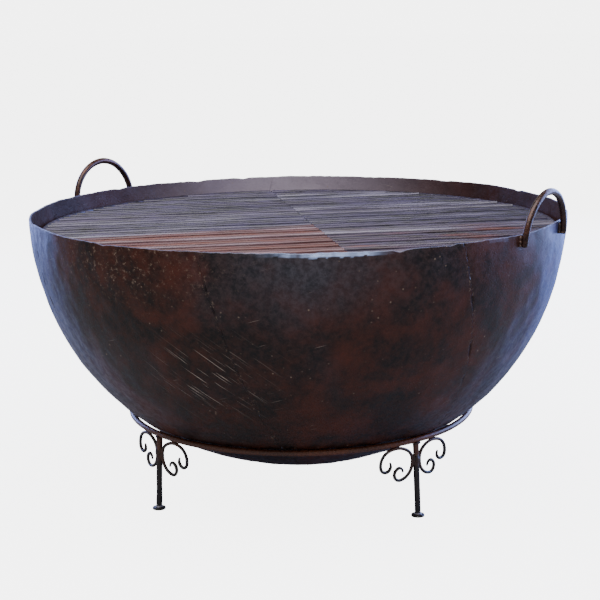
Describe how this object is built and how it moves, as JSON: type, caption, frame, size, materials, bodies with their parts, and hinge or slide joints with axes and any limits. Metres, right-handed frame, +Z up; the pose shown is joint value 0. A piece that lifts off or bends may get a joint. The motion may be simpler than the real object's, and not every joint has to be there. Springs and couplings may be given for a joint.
{
  "type": "fire pit with grate",
  "caption": "Round fire bowl of hammered welded plates on a low ring stand with scrolled legs, with a two-part bar grate resting inside the rim and a loop handle on each side.",
  "frame": {"origin": "on the ground, under the middle of the bowl", "axes": "+Z up, -Y towards the front; turns are counted from the front, anticlockwise seen from above"},
  "size_m": [1, 1, 0.5868],
  "materials": {
    "bowl_plate": "hammered plate, dark brown patina with reddish mottling, blue-grey sheen and scratches",
    "handle_bar": "forged round bar, dark brown with rubbed highlights",
    "grate_bar": "bare bar, grey-violet scale with orange rust",
    "stand_bar": "forged round bar, near black with rusty brown near the ring"
  },
  "bodies": {
    "stand": {"stand_ring": "stand_bar", "leg_1": "stand_bar", "leg_2": "stand_bar", "leg_3": "stand_bar", "leg_4": "stand_bar", "foot_1": "stand_bar", "foot_2": "stand_bar", "foot_3": "stand_bar", "foot_4": "stand_bar", "scroll_1_left": "stand_bar", "scroll_1_right": "stand_bar", "scroll_2_left": "stand_bar", "scroll_2_right": "stand_bar", "scroll_3_left": "stand_bar", "scroll_3_right": "stand_bar", "scroll_4_left": "stand_bar", "scroll_4_right": "stand_bar"},
    "bowl": {"side_plate_1": "bowl_plate", "side_plate_2": "bowl_plate", "side_plate_3": "bowl_plate", "side_plate_4": "bowl_plate", "side_plate_5": "bowl_plate", "side_plate_6": "bowl_plate", "side_plate_7": "bowl_plate", "base_plate": "bowl_plate", "handle_left": "handle_bar", "handle_right": "handle_bar", "grate_lug_1": "bowl_plate", "grate_lug_2": "bowl_plate", "grate_lug_3": "bowl_plate", "grate_lug_4": "bowl_plate", "grate_lug_5": "bowl_plate", "grate_lug_6": "bowl_plate"},
    "grate_left": {"grate_left_rim": "grate_bar", "grate_left_edge_bar": "grate_bar", "grate_left_cross_bar": "grate_bar", "grate_left_bars": "grate_bar"},
    "grate_right": {"grate_right_rim": "grate_bar", "grate_right_edge_bar": "grate_bar", "grate_right_cross_bar": "grate_bar", "grate_right_bars": "grate_bar"}
  },
  "joints": [
    {"name": "bowl_lift", "type": "slide", "parent": "stand", "child": "bowl", "axis": [0, 0, 1], "range_m": [0, 0.2]},
    {"name": "grate_left_lift", "type": "slide", "parent": "bowl", "child": "grate_left", "axis": [0, 0, 1], "range_m": [0, 0.25]},
    {"name": "grate_right_lift", "type": "slide", "parent": "bowl", "child": "grate_right", "axis": [0, 0, 1], "range_m": [0, 0.25]}
  ]
}
